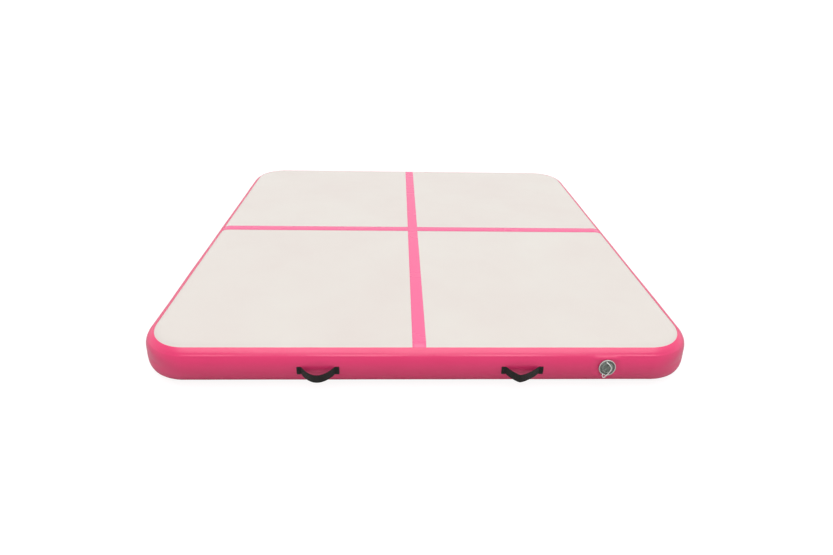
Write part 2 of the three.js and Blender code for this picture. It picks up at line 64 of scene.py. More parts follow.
# Air chamber. Its size comes from the frame.
HALF_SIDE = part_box("side_wall_outer")[1].x
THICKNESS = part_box("top_sheet")[1].z
MID = THICKNESS / 2
SHEET = 1.2 * MM
GAP = 0.3 * MM
WALL_RADIUS = MID + GAP + SHEET
BASE = HALF_SIDE - WALL_RADIUS
CORNER_RADIUS = 186 * MM
BASE_CORNER = CORNER_RADIUS - WALL_RADIUS
# How far a corner is drawn in at mid height, and how far its lower half stands out
CORNER_FLATTEN = 12 * MM
CORNER_FOOT = 6 * MM
# How far the flat sheets rise and fall, and how far from their edge that starts
SHEET_UNEVENNESS = 0.16 * MM
UNEVEN_FROM = 0.15

# Places round the section, in degrees from the top
BAND_EDGE = 26
SHEET_EDGE = 50
BUTT_GAP = 0.23
SEAM_TAPES = {"top": (42, 60), "bottom": (138, 120)}
STRIPE_END = 25.6

# How finely the chamber is meshed
CORNER_STEPS = 24
LONG_STEP = 24 * MM
SHORT_STEP = 4 * MM
STRIPE_DETAIL = 32 * MM
BAND_STEP = 2
ROLL_STEP = 2.5
INNER_STEP = 5
TINY = 1e-9
# Shares of the way out at which the flat of a sheet has a ring of points
SHEET_RINGS = [0.02, 0.1, 0.2, 0.3, 0.4, 0.5, 0.6, 0.68, 0.76, 0.83, 0.89, 0.94, 0.975]

# Tape stripes
STRIPE_LOW, STRIPE_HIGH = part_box("stripe_long")
STRIPE_HALF = (STRIPE_HIGH.x - STRIPE_LOW.x) / 2
LONG_STRIPE_X = (STRIPE_HIGH.x + STRIPE_LOW.x) / 2
CROSS_STRIPE_Y = (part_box("stripe_cross_left")[0].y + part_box("stripe_cross_left")[1].y) / 2
STRIPE_LIFT = 0.3 * MM
STRIPE_THICKNESS = 0.5 * MM
STRIPE_ROLL_STEPS = 8
# Edges are numbered counter-clockwise from the front; a stripe crosses each of them
FRONT, REAR = 0, 2
STRIPE_CROSSINGS = [LONG_STRIPE_X, CROSS_STRIPE_Y, -LONG_STRIPE_X, -CROSS_STRIPE_Y]

# Lap of the side band's ends, on the rear edge
LAP_PLACE = -110 * MM
LAP_WIDTH = 26 * MM
LAP_RISE = 0.7 * MM

# Ridges of the weld over the sheets' edges: place and width in degrees, and height
WELD_RIDGES = [
    (SHEET_EDGE, 2.0, 0.95 * MM),
    (SHEET_EDGE - 5, 2.0, -0.35 * MM),
    (180 - SHEET_EDGE, 2.0, 0.4 * MM),
]
# Slow waves along the band: length in metres, phase and share
BAND_WAVES = [(0.41, 0.7, 1.0), (0.173, 0.0, 0.7), (0.087, 2.1, 0.4)]

# Drop-stitch yarns
YARN_ROWS = 8
YARN_STRANDS = 5
YARN_ZIGZAGS = 11
YARN_RADIUS = 0.45 * MM

# Valve frame: the origin and axis of the cap's hinge
JOINTS = {joint["name"]: joint for joint in frame["joints"]}
VALVE_ORIGIN = Vector(JOINTS["cap_turn"]["pos_m"])
VALVE_AXIS = Vector(JOINTS["cap_turn"]["axis"])
VALVE_ANGLE = math.acos(VALVE_AXIS.z)
# The valve presses the wall in and holds it flat near by; it is free beyond the fades
SEAT_DEPTH = 4.5 * MM
SEAT_FLAT = 27 * MM
SEAT_FADE_ALONG = 58 * MM
SEAT_FADE_ACROSS = 40 * MM

# Carry handles
HALF_SPAN = 72.5 * MM
TAB_LENGTH = 15.5 * MM
STRAP_WIDTH = 32 * MM
STRAP_THICKNESS = 2 * MM
STRAP_BOW = 38 * MM
STRAP_DROOP = 4.5 * MM
STRAP_SAMPLES = 1161
STRAP_SMOOTHING = 30
STRAP_ROWS = 105
# Below this bow the webbing lies along the wall, a little narrowed by its stitches
HUG_BOW = 12 * MM
SEWN_NARROWING = 0.1
FOLD_THICKNESS = 1.5 * MM
STITCH_LENGTH = 3 * MM
STITCH_RADIUS = 0.38 * MM


class Handle:
    """One carry handle, at the hinge of its strap, with the shape of its bow."""

    def __init__(self, name, roundness, peak):
        self.name = name
        self.roundness = roundness
        self.peak = peak
        self.x, y, self.z = JOINTS[f"{name}_lift"]["pos_m"]
        self.side = math.copysign(1, y)


HANDLES = [
    Handle("front_left", roundness=2.0, peak=0),
    Handle("front_right", roundness=1.4, peak=-14 * MM),
    Handle("rear_left", roundness=1.6, peak=6 * MM),
    Handle("rear_right", roundness=2.0, peak=0),
]


# ---- small helpers


def smoothstep(value, low, high):
    """Rises smoothly from 0 at low to 1 at high."""
    t = np.clip((np.asarray(value, float) - low) / (high - low), 0, 1)
    return t * t * (3 - 2 * t)


def bell(value, centre, width):
    """1 at the centre, falling away smoothly on both sides."""
    return np.exp(-(((np.asarray(value, float) - centre) / width) ** 2))


def path_lengths(path):
    """How far along a path of points each point is."""
    steps = np.linalg.norm(np.diff(path, axis=0), axis=1)
    return np.concatenate([[0], np.cumsum(steps)])


def tidy_normals(mesh, sharp_degrees):
    """Turns the faces of a closed mesh outwards and shades it smooth between sharp edges."""
    corners = np.array([v.co for v in mesh.vertices])
    mesh.calc_loop_triangles()
    triangles = corners[[list(triangle.vertices) for triangle in mesh.loop_triangles]]
    first, second, third = triangles.transpose(1, 0, 2)
    if np.sum(first * np.cross(second, third)) < 0:
        mesh.flip_normals()
    mesh.shade_smooth()
    mesh.set_sharp_from_angle(angle=math.radians(sharp_degrees))


def add_mesh(name, points, faces, uv, sharp_degrees):
    """A new object from points and faces, with one UV pair per face corner."""
    mesh = bpy.data.meshes.new(name)
    mesh.from_pydata([tuple(p) for p in points], [], faces)
    mesh.uv_layers.new(name="UVMap").data.foreach_set("uv", uv.astype(np.float32).ravel())
    tidy_normals(mesh, sharp_degrees)
    obj = bpy.data.objects.new(name, mesh)
    bpy.context.scene.collection.objects.link(obj)
    return obj


def lattice(name, rows, along=None, across=None, turns=True, capped=False, sharp_degrees=40):
    """A closed skin over rows of equally many points.

    Each row is a closed ring. The last row joins the first if turns is true, and
    otherwise both end rows are closed by fans if capped. along and across are the UV
    lengths at the columns and rows; without them UV is the point's own X and Y.
    """
    rows = np.asarray(rows, float)
    count, width = rows.shape[:2]
    points = rows.reshape(-1, 3)
    column = np.arange(width)
    following = (column + 1) % width
    faces, uv = [], []
    for i in range(count if turns else count - 1):
        here, there = i * width, (i + 1) % count * width
        faces += zip(here + column, there + column, there + following, here + following)
        if along is not None:
            low, high = np.full(width, across[i]), np.full(width, across[i + 1])
            start, end = along[:-1], along[1:]
            quad = np.stack([start, low, start, high, end, high, end, low], axis=1)
            uv.append(quad.reshape(-1, 2))
    if capped:
        hub, last = len(points), (count - 1) * width
        faces += [(hub, j, k) for j, k in zip(column, following)]
        faces += [(hub + 1, last + k, last + j) for j, k in zip(column, following)]
        points = np.vstack([points, rows[[0, -1]].mean(axis=1)])
        uv.append(np.zeros((2 * width * 3, 2)))
    faces = [tuple(int(k) for k in face) for face in faces]
    if along is None:
        uv = [points[list(face), :2] for face in faces]
    return add_mesh(name, points, faces, np.vstack(uv), sharp_degrees)


def finished(obj, body, slot, material, *nodes):
    """Gives a piece its body and material, and hides the CAD nodes it stands for; its slot is not
    used.
    """
    obj.data.materials.clear()
    obj.data.materials.append(material)
    if body is not None:
        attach(obj, body)
    if nodes:
        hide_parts(*nodes)
    return obj


# ---- materials

# Noise lies mostly within this much of one half
NOISE_REACH = 0.22


def feed(material, socket, value):
    """Links a socket from another one, or sets it to a plain value."""
    if isinstance(value, bpy.types.NodeSocket):
        material.node_tree.links.new(value, socket)
    else:
        socket.default_value = value


def add_node(material, kind, inputs=None, **properties):
    """A new node; inputs are plain values, or sockets to link from."""
    made = material.node_tree.nodes.new(kind)
    for key, value in properties.items():
        setattr(made, key, value)
    for key, value in (inputs or {}).items():
        feed(material, made.inputs[key], value)
    return made


def new_material(name, **shader):
    """A Principled material. Names of inputs are written with _ for each space."""
    material = bpy.data.materials.new(name)
    material.use_nodes = True
    principled = material.node_tree.nodes["Principled BSDF"]
    for key, value in shader.items():
        principled.inputs[key.replace("_", " ")].default_value = value
    return material


def place(material, by_uv=False):
    """Where a point is: in the frame, or along and across the piece."""
    return add_node(material, "ShaderNodeTexCoord").outputs["UV" if by_uv else "Object"]


def noise(material, where, size, detail=3.0, stretch=None):
    """Soft noise whose features are about size metres across."""
    if stretch is not None:
        scaled = {"Vector": where, "Scale": stretch}
        where = add_node(material, "ShaderNodeMapping", scaled).outputs["Vector"]
    inputs = {"Vector": where, "Scale": 1 / size, "Detail": detail, "Roughness": 0.55}
    return add_node(material, "ShaderNodeTexNoise", inputs).outputs["Fac"]


def arithmetic(material, operation, *values):
    """The result of a Math node on numbers or sockets."""
    made = add_node(material, "ShaderNodeMath", dict(enumerate(values)), operation=operation)
    return made.outputs["Value"]


def ripple(material, length, pitch):
    """Rounded ridges from 0 to 1, one in each pitch of a length."""
    phase = arithmetic(material, "MULTIPLY", length, math.pi / pitch)
    return arithmetic(material, "ABSOLUTE", arithmetic(material, "SINE", phase))


def spread(material, factor, low, high):
    """Turns noise into a value from low to high."""
    inputs = {
        "Value": factor,
        "From Min": 0.5 - NOISE_REACH,
        "From Max": 0.5 + NOISE_REACH,
        "To Min": low,
        "To Max": high,
    }
    return add_node(material, "ShaderNodeMapRange", inputs).outputs["Result"]


def shader_link(material, socket, value):
    """Links a socket of the material's shader."""
    feed(material, material.node_tree.nodes["Principled BSDF"].inputs[socket], value)


def vary_colour(material, factor, first, second):
    """Mixes two colours, RGB values or sockets, by a factor from 0 to 1."""
    mix = add_node(material, "ShaderNodeMix", data_type="RGBA")
    sockets = [socket for socket in mix.inputs if socket.enabled]
    for socket, value in zip(sockets, (factor, first, second)):
        feed(material, socket, (*value, 1) if isinstance(value, tuple) else value)
    return next(socket for socket in mix.outputs if socket.enabled)


def surface(material, clouds, first, second, marks, roughness):
    """Colour that varies with one noise and gloss that varies with another."""
    tone = vary_colour(material, spread(material, clouds, 0, 1), first, second)
    shader_link(material, "Base Color", tone)
    shader_link(material, "Roughness", spread(material, marks, *roughness))


def emboss(material, *heights):
    """Bump from the sum of heights, given as (factor, metres) pairs."""
    parts = [arithmetic(material, "MULTIPLY", factor, metres) for factor, metres in heights]
    height = parts[0]
    for part in parts[1:]:
        height = arithmetic(material, "ADD", height, part)
    inputs = {"Height": height, "Strength": 1.0, "Distance": 1.0}
    bump = add_node(material, "ShaderNodeBump", inputs)
    shader_link(material, "Normal", bump.outputs["Normal"])


def weave_height(material, where, pitch):
    """Crossed threads of the scrim that shows through a coated fabric, 0 to 1."""
    split = add_node(material, "ShaderNodeSeparateXYZ", {"Vector": where})
    waves = [ripple(material, split.outputs[axis], pitch) for axis in ("X", "Y")]
    return arithmetic(material, "MULTIPLY", *waves)


def coated_fabric(name, first, second, roughness, patch, weave_pitch, weave_depth,
                  grain_depth=0.012 * MM, **shader):
    """PVC-coated fabric: soft patches of colour, uneven gloss and a faint scrim."""
    material = new_material(name, **shader)
    where = place(material, by_uv=True)
    patches = noise(material, where, patch, 3)
    smears = noise(material, where, patch / 3, 4, stretch=(1, 2.2, 1))
    surface(material, patches, first, second, smears, roughness)
    grain = noise(material, where, 2.2 * MM, 2)
    scrim = weave_height(material, where, weave_pitch)
    emboss(material, (grain, grain_depth), (scrim, weave_depth))
    return material


def webbing_material():
    """Black herringbone webbing: columns of slanting ribs that turn at each column."""
    column = 2.6 * MM
    rib = 1.5 * MM
    worn_share = 0.45
    material = new_material(
        "webbing", Sheen_Weight=0.12, Sheen_Roughness=0.5, Specular_IOR_Level=0.3,
    )
    where = place(material, by_uv=True)
    split = add_node(material, "ShaderNodeSeparateXYZ", {"Vector": where})
    zigzag = arithmetic(material, "PINGPONG", split.outputs["Y"], column)
    ribs = ripple(material, arithmetic(material, "ADD", split.outputs["X"], zigzag), rib)
    cords = ripple(material, split.outputs["Y"], column)
    fuzz = noise(material, where, 0.5 * MM, 2)
    faded = noise(material, where, 18 * MM, 3)
    # The ribs' colour is darker in their grooves and lighter on their crests: painted shade in the
    # weave.
    dark = vary_colour(material, ribs, (0.008, 0.0075, 0.007), (0.021, 0.0205, 0.0185))
    worn = vary_colour(
        material, spread(material, faded, 0.25, 0.85),
        (0.012, 0.0115, 0.0105), (0.024, 0.024, 0.0215),
    )
    shader_link(material, "Base Color", vary_colour(material, worn_share, dark, worn))
    shader_link(material, "Roughness", spread(material, faded, 0.72, 0.9))
    emboss(material, (ribs, 0.22 * MM), (cords, 0.3 * MM), (fuzz, 0.08 * MM))
    return material


def moulded_plastic(name, first, second, roughness, **shader):
    """Injection-moulded plastic: cloudy colour, fine spark texture and handling marks."""
    material = new_material(name, **shader)
    where = place(material)
    clouds = noise(material, where, 9 * MM, 4)
    marks = noise(material, where, 4 * MM, 5, stretch=(1, 1, 3))
    surface(material, clouds, first, second, marks, roughness)
    spark = noise(material, where, 0.5 * MM, 2)
    emboss(material, (spark, 0.03 * MM), (clouds, 0.15 * MM))
    return material


def twisted_thread(name, first, second, pitch, radius):
    """Plied thread: slanting strands and loose fibres, along the piece's own length."""
    material = new_material(name, Sheen_Weight=0.2, Specular_IOR_Level=0.3)
    where = place(material, by_uv=True)
    split = add_node(material, "ShaderNodeSeparateXYZ", {"Vector": where})
    slant = arithmetic(material, "ADD", split.outputs["X"], split.outputs["Y"])
    strands = ripple(material, slant, pitch)
    fibres = noise(material, where, pitch / 3, 3)
    # Darker between the strands and lighter on them: painted shade in the twist.
    shader_link(material, "Base Color", vary_colour(material, strands, first, second))
    shader_link(material, "Roughness", spread(material, fibres, 0.7, 0.95))
    emboss(material, (strands, radius / 2), (fibres, radius / 6))
    return material


def rubber_material():
    """Moulded seal rubber with a bloom of dust and a fine matt skin."""
    material = new_material("seal_rubber", Specular_IOR_Level=0.35)
    where = place(material)
    bloom = noise(material, where, 5 * MM, 5)
    dark, dusty = (0.010, 0.010, 0.010), (0.035, 0.034, 0.032)
    surface(material, bloom, dark, dusty, bloom, (0.55, 0.85))
    emboss(material, (noise(material, where, 0.4 * MM, 3), 0.03 * MM))
    return material


def steel_material():
    """Drawn spring steel with fine draw lines."""
    material = new_material("spring_steel", Metallic=1.0)
    lines = noise(material, place(material), 0.35 * MM, 4, stretch=(1, 0.15, 1))
    surface(material, lines, (0.45, 0.46, 0.48), (0.62, 0.63, 0.65), lines, (0.2, 0.38))
    emboss(material, (lines, 0.01 * MM))
    return material


WHITE_SHEET = coated_fabric(
    "white_coated_fabric", (0.755, 0.69, 0.648), (0.775, 0.735, 0.685), (0.34, 0.46),
    patch=0.42, weave_pitch=5.5 * MM, weave_depth=0.035 * MM,
)
UNDERSIDE = coated_fabric(
    "underside_coated_fabric", (0.66, 0.63, 0.59), (0.71, 0.68, 0.65), (0.5, 0.62),
    patch=0.35, weave_pitch=1.4 * MM, weave_depth=0.05 * MM,
)
PINK_BAND = coated_fabric(
    "pink_coated_fabric", (0.92, 0.044, 0.184), (0.95, 0.053, 0.204), (0.28, 0.35),
    patch=0.3, weave_pitch=1.2 * MM, weave_depth=0.012 * MM,
    Specular_IOR_Level=0.6, Coat_Weight=0.2, Coat_Roughness=0.2,
)
PINK_TAPE = coated_fabric(
    "pink_tape", (0.92, 0.150, 0.330), (0.935, 0.160, 0.342), (0.25, 0.285),
    patch=0.9, weave_pitch=3 * MM, weave_depth=0.003 * MM, grain_depth=0.002 * MM,
)
INNER_FABRIC = coated_fabric(
    "inner_fabric", (0.62, 0.60, 0.57), (0.68, 0.66, 0.63), (0.55, 0.7),
    patch=0.1, weave_pitch=1.4 * MM, weave_depth=0.08 * MM,
)
WEBBING = webbing_material()
VALVE_PLASTIC = moulded_plastic(
    "valve_plastic", (0.20, 0.235, 0.205), (0.25, 0.28, 0.25), (0.25, 0.38),
)
CAP_PLASTIC = moulded_plastic(
    "cap_plastic", (0.215, 0.25, 0.22), (0.27, 0.30, 0.27), (0.22, 0.36),
)
RING_PLASTIC = moulded_plastic(
    "ring_plastic", (0.60, 0.61, 0.585), (0.67, 0.675, 0.65), (0.18, 0.3),
)
INNER_PLASTIC = moulded_plastic(
    "inner_plastic", (0.10, 0.12, 0.11), (0.14, 0.155, 0.145), (0.35, 0.5),
)
LEASH_PLASTIC = moulded_plastic(
    "leash_plastic", (0.86, 0.86, 0.83), (0.90, 0.90, 0.87), (0.2, 0.3),
    Coat_Weight=1.0, Coat_Roughness=0.25,
    Subsurface_Weight=0.25, Subsurface_Radius=(2 * MM, 2 * MM, 2 * MM),
)
YARN = twisted_thread("drop_yarn", (0.72, 0.70, 0.65), (0.86, 0.84, 0.80), 0.5 * MM, 0.1 * MM)
THREAD = twisted_thread(
    "stitch_thread", (0.006, 0.006, 0.006), (0.05, 0.05, 0.047), 0.4 * MM, 0.12 * MM,
)
RUBBER = rubber_material()
STEEL = steel_material()


# ---- air chamber


def edge_stops(reach, busy):
    """Places along one straight edge, close together in the busy stretches."""
    stops = [-reach]
    while stops[-1] < reach - TINY:
        here = stops[-1]
        step = LONG_STEP
        for low, high in busy:
            if low - TINY <= here < high - TINY:
                step = SHORT_STEP
            elif here < low < here + step:
                step = low - here
        stops.append(min(here + step, reach))
    if stops[-1] - stops[-2] < 1 * MM:
        del stops[-2]
    return stops


def around(centre, half):
    """The stretch that reaches as far on both sides of its centre."""
    return (centre - half, centre + half)


def busy_stretches(edge):
    """Stretches of an edge that need detail: at its stripe, at the valve and at the lap."""
    stretches = [around(STRIPE_CROSSINGS[edge], STRIPE_DETAIL)]
    if edge == FRONT:
        stretches.append(around(VALVE_ORIGIN.x, SEAT_FADE_ALONG + 2 * MM))
    if edge == REAR:
        stretches.append(around(LAP_PLACE, LAP_WIDTH))
    return stretches


class Perimeter:
    """Columns round the rounded square that the wall's centre follows.

    Each has its place, the way out, its edge (-1 in a corner), its place along the edge
    and how far it is through its corner, from 0 to 1.
    """

    def __init__(self):
        columns = []
        reach = BASE - BASE_CORNER
        for edge in range(4):
            angle = math.radians(90 * (edge - 1))
            out = np.array([math.cos(angle), math.sin(angle)])
            ahead = np.array([-out[1], out[0]])
            for stop in edge_stops(reach, busy_stretches(edge)):
                columns.append((out * BASE + ahead * stop, out, edge, stop, 0.0))
            for step in range(1, CORNER_STEPS):
                part = step / CORNER_STEPS
                bend = angle + part * math.pi / 2
                turned = np.array([math.cos(bend), math.sin(bend)])
                place_xy = (out + ahead) * reach + turned * BASE_CORNER
                columns.append((place_xy, turned, -1, 0.0, part))
        self.place, self.outward, self.edge, self.along_edge, self.turn = (
            np.array(values) for values in zip(*columns))
        outer = self.place + self.outward * WALL_RADIUS
        self.length = path_lengths(np.vstack([outer, outer[:1]]))


PERIMETER = Perimeter()


def seat_shift(angle):
    """How far the clamped valve moves the wall along the valve's axis, to hold it flat."""
    from_axis = angle - VALVE_ANGLE
    along = np.abs(PERIMETER.place[:, 0] - VALVE_ORIGIN.x)
    across = np.abs(WALL_RADIUS * np.sin(from_axis))
    depth = WALL_RADIUS * (1 - np.cos(from_axis))
    held_along = 1 - smoothstep(along, SEAT_FLAT, SEAT_FADE_ALONG)
    held_across = 1 - smoothstep(across, SEAT_FLAT, SEAT_FADE_ACROSS)
    return (PERIMETER.edge == FRONT) * held_along * held_across * (depth - SEAT_DEPTH)


def wall_rows(radii, degrees, swell=0.0):
    """Rows of points of the inflated section, one row per radius and angle pair."""
    angle = np.radians(np.asarray(degrees, float))[:, None]
    reach = np.asarray(radii, float)[:, None] + swell
    waist = CORNER_FLATTEN * np.sin(angle) ** 6
    foot = CORNER_FOOT * np.maximum(0, -np.sin(2 * angle))
    out = reach * np.sin(angle) + np.sin(np.pi * PERIMETER.turn) * (foot - waist)
    shift = seat_shift(angle)
    x = PERIMETER.place[:, 0] + PERIMETER.outward[:, 0] * out
    y = PERIMETER.place[:, 1] + PERIMETER.outward[:, 1] * out + VALVE_AXIS.y * shift
    z = MID + reach * np.cos(angle) + VALVE_AXIS.z * shift
    return np.stack([x, y, z], axis=-1)


def layer_section(radius, start, end, step):
    """Radii and angles round the section of one fabric layer with softened edges."""
    inset, rounding = 0.7, 0.15
    run = np.linspace(start, end, max(2, round(abs(end - start) / step)) + 1)
    inner = radius - SHEET
    lean = math.copysign(math.degrees(SHEET / 2 / radius), end - start)
    run[0] += inset * lean
    run[-1] -= inset * lean
    nose = rounding * lean
    edge = [radius - rounding * SHEET, radius - SHEET / 2, inner + rounding * SHEET]
    radii = [radius] * len(run) + edge + [inner] * len(run) + edge[::-1]
    angles = [*run, end - nose, end, end - nose, *run[::-1], start + nose, start, start + nose]
    return np.array(radii), np.array(angles)


def weld_rise(angle, travel, corner):
    """The weld's ridges, which come and go slowly and are fainter round the corners."""
    fading = 0.6 + 0.4 * np.sin(2 * np.pi * travel / 0.53 + 1.0)
    ridges = sum(height * bell(angle, middle, width) for middle, width, height in WELD_RIDGES)
    return (1 - 0.2 * corner) * fading * ridges


def pucker_rise(angle, corner):
    """Small crimps where the band is gathered round a corner."""
    shoulder = bell(angle, 46, 9) + bell(angle, 134, 10)
    crimps = np.sin(2 * np.pi * 8 * PERIMETER.turn + 0.6)
    unevenness = 0.6 + 0.4 * np.sin(23 * PERIMETER.turn)
    return 0.4 * MM * shoulder * corner * crimps * unevenness


def wave_rise(angle, travel):
    """Slow waves along the two shoulders of the band."""
    waves = sum(share * np.sin(2 * np.pi * travel / length + phase)
                for length, phase, share in BAND_WAVES)
    return 0.16 * MM * waves * (bell(angle, 42, 12) + 0.5 * bell(angle, 135, 14))


def stripe_rise(angle):
    """The stripes' ends, which show through the edge of the band."""
    on_tape = 0.0
    for edge, centre in enumerate(STRIPE_CROSSINGS):
        beside = np.abs(PERIMETER.along_edge - centre)
        over = 1 - smoothstep(beside, STRIPE_HALF - 2 * MM, STRIPE_HALF + 3 * MM)
        on_tape = on_tape + (PERIMETER.edge == edge) * over
    return STRIPE_THICKNESS * on_tape * (1 - smoothstep(angle, BAND_EDGE + 5, BAND_EDGE + 9))


def lap_rise(angle):
    """The lap where the ends of the band are welded over each other."""
    beside = np.abs(PERIMETER.along_edge - LAP_PLACE)
    on_lap = 1 - smoothstep(beside, LAP_WIDTH / 2 - 2 * MM, LAP_WIDTH / 2 + 1 * MM)
    fading = np.sin(np.radians(angle)) ** 0.2
    return LAP_RISE * (PERIMETER.edge == REAR) * on_lap * fading


def band_swell(degrees):
    """Small uneven rises of the outer band, by angle and place round the mat."""
    angle = np.asarray(degrees, float)[:, None]
    travel = PERIMETER.length[:-1]
    corner = np.sin(np.pi * PERIMETER.turn)
    return (weld_rise(angle, travel, corner) + pucker_rise(angle, corner)
            + wave_rise(angle, travel) + stripe_rise(angle) + lap_rise(angle))


def drilled(obj):
    """Cuts the round valve opening through a layer of the wall."""
    radius, reach = TUBE_RADIUS + GAP, 20 * MM
    cutter = lathe("cutter", [(0, -reach), (radius, -reach), (radius, reach), (0, reach)], 64)
    cut = obj.modifiers.new("opening", "BOOLEAN")
    cut.operation = "DIFFERENCE"
    cut.solver = "EXACT"
    cut.object = cutter
    graph = bpy.context.evaluated_depsgraph_get()
    mesh = bpy.data.meshes.new_from_object(obj.evaluated_get(graph))
    obj.modifiers.clear()
    obj.data = mesh
    bpy.data.objects.remove(cutter)
    return obj


def wall_layer(name, radius, start, end, step, swell=None):
    """One layer of the side wall between two angles; swell raises its outer face."""
    radii, angles = layer_section(radius, start, end, step)
    rise = 0.0
    if swell is not None:
        outside = (radii > radius - SHEET / 2 - TINY)[:, None]
        rise = swell(angles) * outside
    across = np.radians(np.append(angles, angles[0])) * WALL_RADIUS
    return lattice(name, wall_rows(radii, angles, rise), PERIMETER.length, across)


def flat_waves(x, y):
    """The slight unevenness of a sheet that thousands of yarns hold flat."""
    rise = np.sin(x * 7.3 + 1.1) * np.sin(y * 6.1 + 0.4)
    rise = rise + 0.6 * np.sin(x * 13.7 - y * 9.2 + 2.0)
    rise = rise + 0.35 * np.sin(x * 23.0 + y * 17.0)
    from_edge = BASE - np.maximum(np.abs(x), np.abs(y))
    return SHEET_UNEVENNESS * rise * smoothstep(from_edge, 0, UNEVEN_FROM)


def sheet_skin(name, at_top):
    """The flat top or bottom sheet, with its rim rolled over the shoulder."""
    rolled = np.arange(0, SHEET_EDGE + ROLL_STEP / 2, ROLL_STEP)
    rolled = rolled if at_top else 180 - rolled
    rows = []
    for radius, order in ((MID, 1), (MID - SHEET, -1)):
        rim = wall_rows([radius], [rolled[0]])[0]
        flat = [rim * [share, share, 1] for share in SHEET_RINGS]
        face = np.vstack([np.array(flat), wall_rows([radius] * len(rolled), rolled)])
        face[..., 2] += flat_waves(face[..., 0], face[..., 1])
        rows.append(face[::order])
    return lattice(name, np.vstack(rows), turns=False, capped=True)


def tape_line(radius, start, end, rolls):
    """Side view of one face of a stripe: (along, z), rolled over at the given ends."""
    angles = np.radians(np.linspace(0, STRIPE_END, STRIPE_ROLL_STEPS + 1))[1:]
    roll = [(radius * math.sin(angle), MID + radius * math.cos(angle)) for angle in angles]
    count = max(2, round((end - start) / LONG_STEP))
    line = [(along, MID + radius) for along in np.linspace(start, end, count)]
    if rolls[0]:
        line = [(start - out, z) for out, z in roll[::-1]] + line
    if rolls[1]:
        line = line + [(end + out, z) for out, z in roll]
    return line


def tape(name, centre, start, end, rolls, runs_along_y):
    """A stripe of tape on the top sheet, rolled over the shoulder at the given ends."""
    inner = MID + STRIPE_LIFT
    bottom = tape_line(inner, start, end, rolls)
    top = tape_line(inner + STRIPE_THICKNESS, start, end, rolls)
    soft = STRIPE_THICKNESS * 0.6
    offsets = [-STRIPE_HALF, -STRIPE_HALF + soft, -STRIPE_HALF / 2, 0, STRIPE_HALF / 2,
               STRIPE_HALF - soft, STRIPE_HALF]
    heights = [0.55, 1, 1, 1, 1, 1, 0.55]
    rows = []
    for (low_along, low_z), (high_along, high_z) in zip(bottom, top):
        upper = [(low_along + (high_along - low_along) * share, offset,
                  low_z + (high_z - low_z) * share) for offset, share in zip(offsets, heights)]
        lower = [(low_along, offset, low_z) for offset in offsets[::-1]]
        rows.append(upper + lower)
    rows = np.array(rows)
    along, across, z = rows[..., 0], rows[..., 1] + centre, rows[..., 2]
    x, y = (across, along) if runs_along_y else (along, across)
    rows = np.stack([x, y, z + flat_waves(x, y)], axis=-1)
    return lattice(name, rows, turns=False, capped=True)


def build_chamber():
    """The two sheets, both layers of the side wall and the seam tapes inside."""
    top = sheet_skin("top_skin", at_top=True)
    finished(top, "mat", "top_fabric", WHITE_SHEET, "top_sheet")
    bottom = sheet_skin("bottom_skin", at_top=False)
    finished(bottom, "mat", "bottom_fabric", UNDERSIDE, "bottom_sheet")
    band = wall_layer("side_band", WALL_RADIUS, BAND_EDGE, 180 - BAND_EDGE, BAND_STEP, band_swell)
    finished(drilled(band), "mat", "side_band", PINK_BAND, "side_wall_outer")
    first = SHEET_EDGE + BUTT_GAP
    inner = wall_layer("inner_wall", MID, first, 180 - first, INNER_STEP)
    finished(drilled(inner), "mat", "inner_fabric", INNER_FABRIC, "side_wall_inner")
    for level, (first, last) in SEAM_TAPES.items():
        seam = wall_layer(f"inner_seam_tape_{level}", MID - SHEET - GAP, first, last, INNER_STEP)
        finished(seam, "mat", "inner_fabric", INNER_FABRIC, f"seam_tape_{level}")


def build_stripes():
    """The long stripe and the two halves of the cross stripe, which butt against it."""
    butt = STRIPE_HALF + GAP
    for name, centre, start, end, rolls, along_y in (
        ("tape_long", LONG_STRIPE_X, -BASE, BASE, (True, True), True),
        ("tape_cross_left", CROSS_STRIPE_Y, -BASE, LONG_STRIPE_X - butt, (True, False), False),
        ("tape_cross_right", CROSS_STRIPE_Y, LONG_STRIPE_X + butt, BASE, (False, True), False),
    ):
        piece = tape(name, centre, start, end, rolls, along_y)
        finished(piece, "mat", "stripe_tape", PINK_TAPE, name.replace("tape", "stripe"))


# ---- tubes and yarns


def tube(name, path, radius, sides=12):
    """A round tube along points, with fan-closed ends and UV along and round it."""
    path = np.asarray(path, float)
    ahead = np.gradient(path, axis=0)
    ahead /= np.linalg.norm(ahead, axis=1)[:, None]
    side = np.cross(ahead[0], [0.3, 0.2, 1.0])
    rows = []
    for point, tangent in zip(path, ahead):
        side = side - tangent * (side @ tangent)
        side /= np.linalg.norm(side)
        other = np.cross(tangent, side)
        turn = np.linspace(0, 2 * np.pi, sides, endpoint=False)[:, None]
        rows.append(point + radius * (np.cos(turn) * side + np.sin(turn) * other))
    girth = np.linspace(0, 2 * np.pi * radius, sides + 1)
    return lattice(name, rows, girth, path_lengths(path), turns=False, capped=True)


def joined(name, parts):
    """Several objects as one mesh."""
    with bpy.context.temp_override(
        active_object=parts[0], selected_editable_objects=parts, selected_objects=parts,
    ):
        bpy.ops.object.join()
    parts[0].name = name
    parts[0].data.name = name
    return parts[0]


def yarn_path(x, low, high):
    """One yarn, up and down between the sheets, with a short bend at each turn."""
    path = []
    for i, y in enumerate(np.linspace(low.y + 2 * MM, high.y - 2 * MM, 2 * YARN_ZIGZAGS + 1)):
        at_top = i % 2
        z = high.z - YARN_RADIUS if at_top else low.z + YARN_RADIUS
        beside = z + (-1.2 * MM if at_top else 1.2 * MM)
        path += [(x, y - 1.5 * MM, beside), (x, y, z), (x, y + 1.5 * MM, beside)]
    return path


